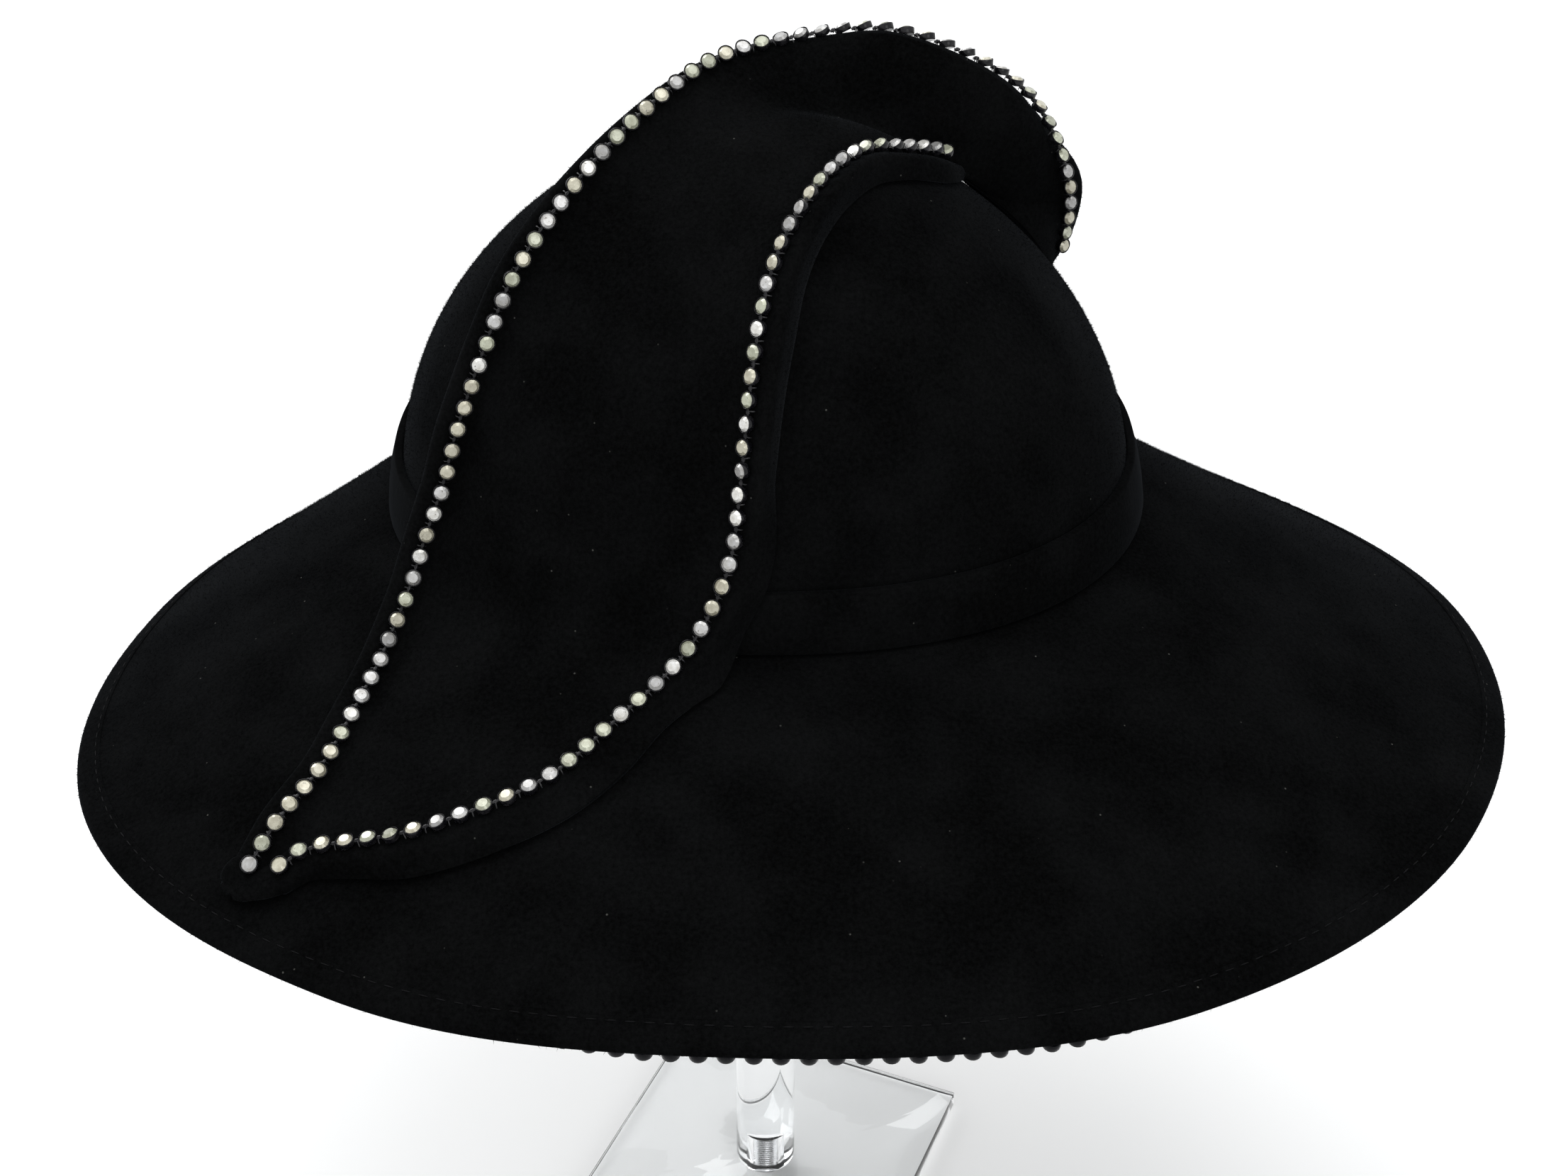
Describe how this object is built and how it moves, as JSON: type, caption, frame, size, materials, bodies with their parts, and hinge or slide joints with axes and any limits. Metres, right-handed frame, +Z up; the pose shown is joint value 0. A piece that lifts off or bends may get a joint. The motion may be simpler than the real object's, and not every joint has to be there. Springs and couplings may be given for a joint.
{
  "type": "felt hat on display stand",
  "caption": "Wide-brimmed felt hat with a domed crown, a flat band and a felt wave edged with set stones, on a clear stand with a square plate, a round rod and a disc.",
  "frame": {"origin": "middle of the stand's foot, under the rod's axis, in the plane the square plate rests on", "axes": "+Z up along the rod, +X to the wearer's left, which is the picture's right, +Y from the front of the hat to its back"},
  "size_m": [0.3945, 0.357, 0.4081],
  "materials": {
    "felt": "matte",
    "stones": "gloss",
    "cups": "gloss",
    "acrylic": "gloss",
    "steel": "satin"
  },
  "bodies": {
    "root": {"crown": "felt", "brim": "felt", "hat_band": "felt", "wave_ornament": "felt", "trim_outer": "stones", "trim_inner": "stones", "trim_brim": "cups", "stand_base": "acrylic", "stand_screw": "steel", "stand_rod": "acrylic", "stand_top": "acrylic"}
  },
  "joints": []
}
